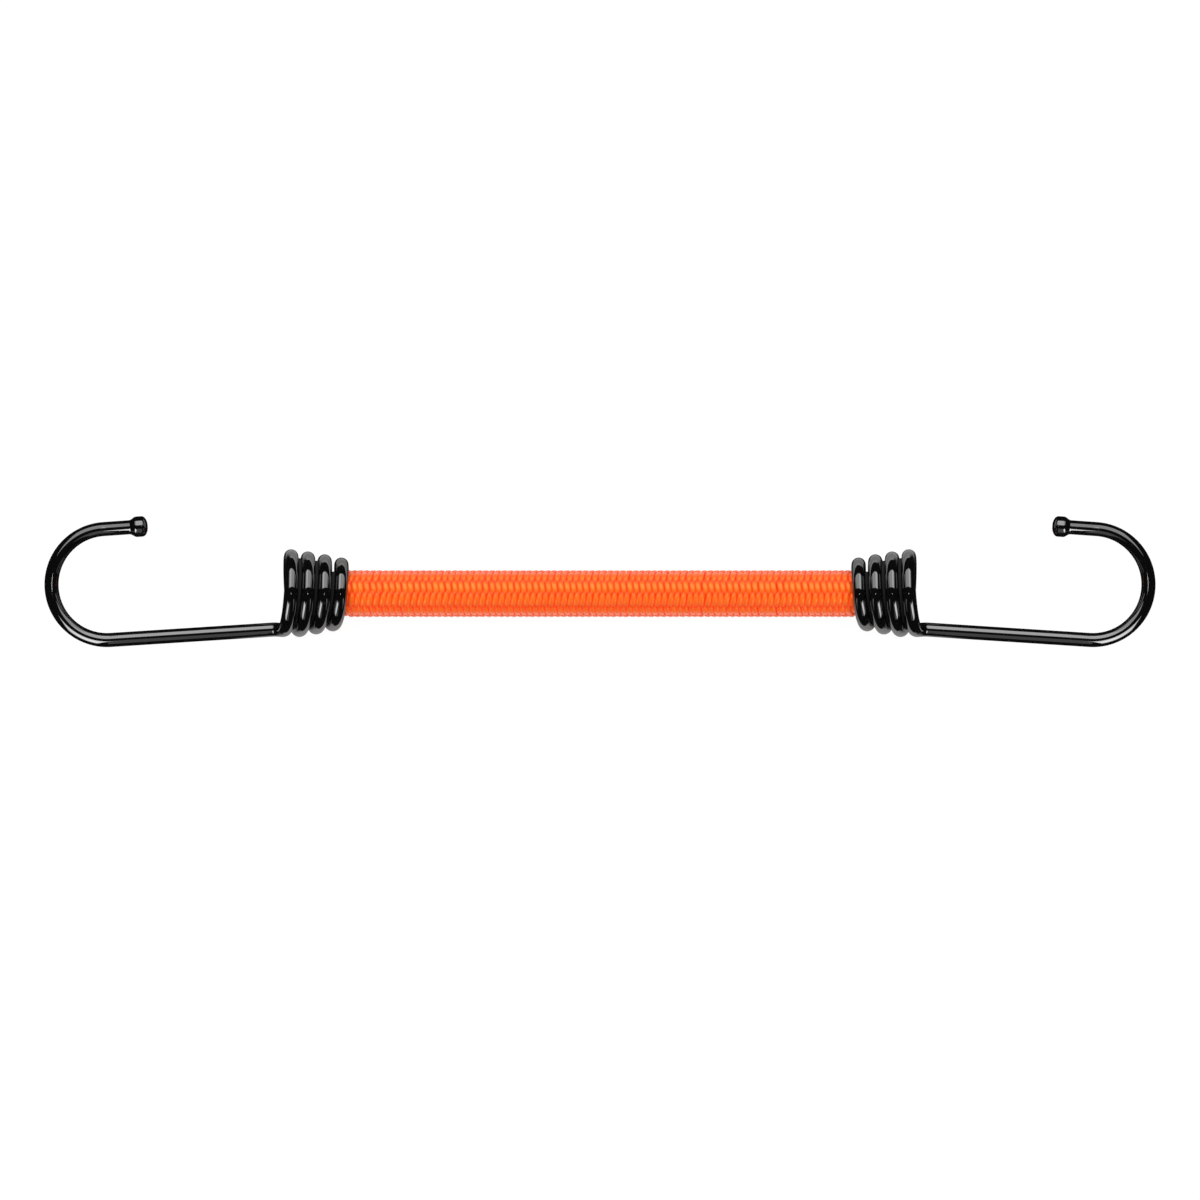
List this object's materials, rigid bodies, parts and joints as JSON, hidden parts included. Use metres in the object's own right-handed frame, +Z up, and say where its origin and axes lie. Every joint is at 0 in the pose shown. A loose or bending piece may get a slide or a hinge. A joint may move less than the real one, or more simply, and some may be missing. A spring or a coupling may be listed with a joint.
{
  "type": "bungee cord",
  "caption": "Short elastic tie-down cord: braided sheath over rubber strands, with a wound and bent wire hook gripping each end.",
  "frame": {"origin": "on the table, under the middle of the whole cord", "axes": "+X along the cord from the left hook to the right one, +Y across it towards the hooks' tips, +Z up, square to the plane of the hooks"},
  "size_m": [0.25, 0.0294, 0.0194],
  "materials": {
    "hook_coating": "glossy black dipped coating on steel wire",
    "clamp_steel": "bright zinc plated wire",
    "sheath_braid": "tight orange braided yarn",
    "core_rubber": "natural latex thread, dusted with talc"
  },
  "bodies": {
    "cord": {"braided_sheath": "sheath_braid", "rubber_strand_01": "core_rubber", "rubber_strand_02": "core_rubber", "rubber_strand_03": "core_rubber", "rubber_strand_04": "core_rubber", "rubber_strand_05": "core_rubber", "rubber_strand_06": "core_rubber", "rubber_strand_07": "core_rubber", "rubber_strand_08": "core_rubber", "rubber_strand_09": "core_rubber", "rubber_strand_10": "core_rubber", "rubber_strand_11": "core_rubber", "rubber_strand_12": "core_rubber", "rubber_strand_13": "core_rubber", "rubber_strand_14": "core_rubber", "rubber_strand_15": "core_rubber", "rubber_strand_16": "core_rubber", "rubber_strand_17": "core_rubber", "rubber_strand_18": "core_rubber", "rubber_strand_19": "core_rubber", "rubber_strand_20": "core_rubber", "rubber_strand_21": "core_rubber", "rubber_strand_22": "core_rubber", "rubber_strand_23": "core_rubber", "rubber_strand_24": "core_rubber", "rubber_strand_25": "core_rubber", "rubber_strand_26": "core_rubber", "rubber_strand_27": "core_rubber", "rubber_strand_28": "core_rubber", "rubber_strand_29": "core_rubber", "rubber_strand_30": "core_rubber", "rubber_strand_31": "core_rubber", "rubber_strand_32": "core_rubber", "rubber_strand_33": "core_rubber", "rubber_strand_34": "core_rubber", "rubber_strand_35": "core_rubber", "rubber_strand_36": "core_rubber", "rubber_strand_37": "core_rubber", "left_end_clamp": "clamp_steel"},
    "left_hook": {"left_hook_wire": "hook_coating"},
    "right_cord_end": {"right_end_clamp": "clamp_steel"},
    "right_hook": {"right_hook_wire": "hook_coating"}
  },
  "joints": [
    {"name": "stretch", "type": "slide", "parent": "cord", "child": "right_cord_end", "axis": [1, 0, 0], "range_m": [0, 0.08], "stiffness_N_per_m": 1500, "deforming": ["braided_sheath", "rubber_strand_01", "rubber_strand_02", "rubber_strand_03", "rubber_strand_04", "rubber_strand_05", "rubber_strand_06", "rubber_strand_07", "rubber_strand_08", "rubber_strand_09", "rubber_strand_10", "rubber_strand_11", "rubber_strand_12", "rubber_strand_13", "rubber_strand_14", "rubber_strand_15", "rubber_strand_16", "rubber_strand_17", "rubber_strand_18", "rubber_strand_19", "rubber_strand_20", "rubber_strand_21", "rubber_strand_22", "rubber_strand_23", "rubber_strand_24", "rubber_strand_25", "rubber_strand_26", "rubber_strand_27", "rubber_strand_28", "rubber_strand_29", "rubber_strand_30", "rubber_strand_31", "rubber_strand_32", "rubber_strand_33", "rubber_strand_34", "rubber_strand_35", "rubber_strand_36", "rubber_strand_37"]},
    {"name": "left_swivel", "type": "hinge", "parent": "cord", "child": "left_hook", "pos_m": [-0.0643, -0.00271, 0.0094], "axis": [1, 0, 0], "continuous": true},
    {"name": "right_swivel", "type": "hinge", "parent": "right_cord_end", "child": "right_hook", "pos_m": [0.0643, -0.00271, 0.0094], "axis": [1, 0, 0], "continuous": true}
  ]
}
